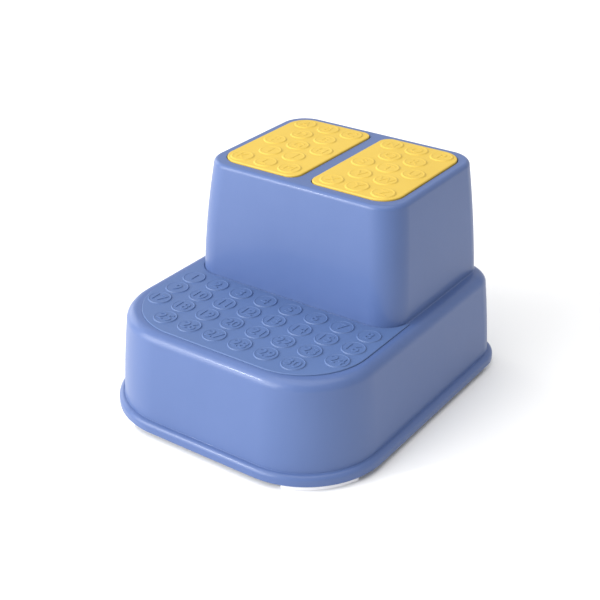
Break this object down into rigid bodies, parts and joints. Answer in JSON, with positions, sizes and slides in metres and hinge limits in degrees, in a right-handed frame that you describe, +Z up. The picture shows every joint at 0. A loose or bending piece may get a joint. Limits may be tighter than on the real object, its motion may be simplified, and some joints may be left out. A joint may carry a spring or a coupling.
{
  "type": "two-step stool",
  "caption": "Hollow moulded two-step stool with a grip panel on its lower step, soft pads in its top step and rubber corner feet.",
  "frame": {"origin": "on the floor, under the middle of the base", "axes": "+X to the right seen from the front, +Y towards the back (the top step), +Z up"},
  "size_m": [0.31, 0.3552, 0.24],
  "materials": {
    "blue_plastic": "satin moulded polypropylene, cornflower blue",
    "blue_grip": "fine-grained soft grip in the same blue",
    "yellow_grip": "matt soft grip, warm yellow",
    "white_rubber": "matt off-white rubber"
  },
  "bodies": {
    "root": {"stool_body": "blue_plastic", "lower_tread_panel": "blue_grip", "left_tread_pad": "yellow_grip", "right_tread_pad": "yellow_grip", "front_left_foot": "white_rubber", "front_right_foot": "white_rubber", "rear_left_foot": "white_rubber", "rear_right_foot": "white_rubber"}
  },
  "joints": []
}
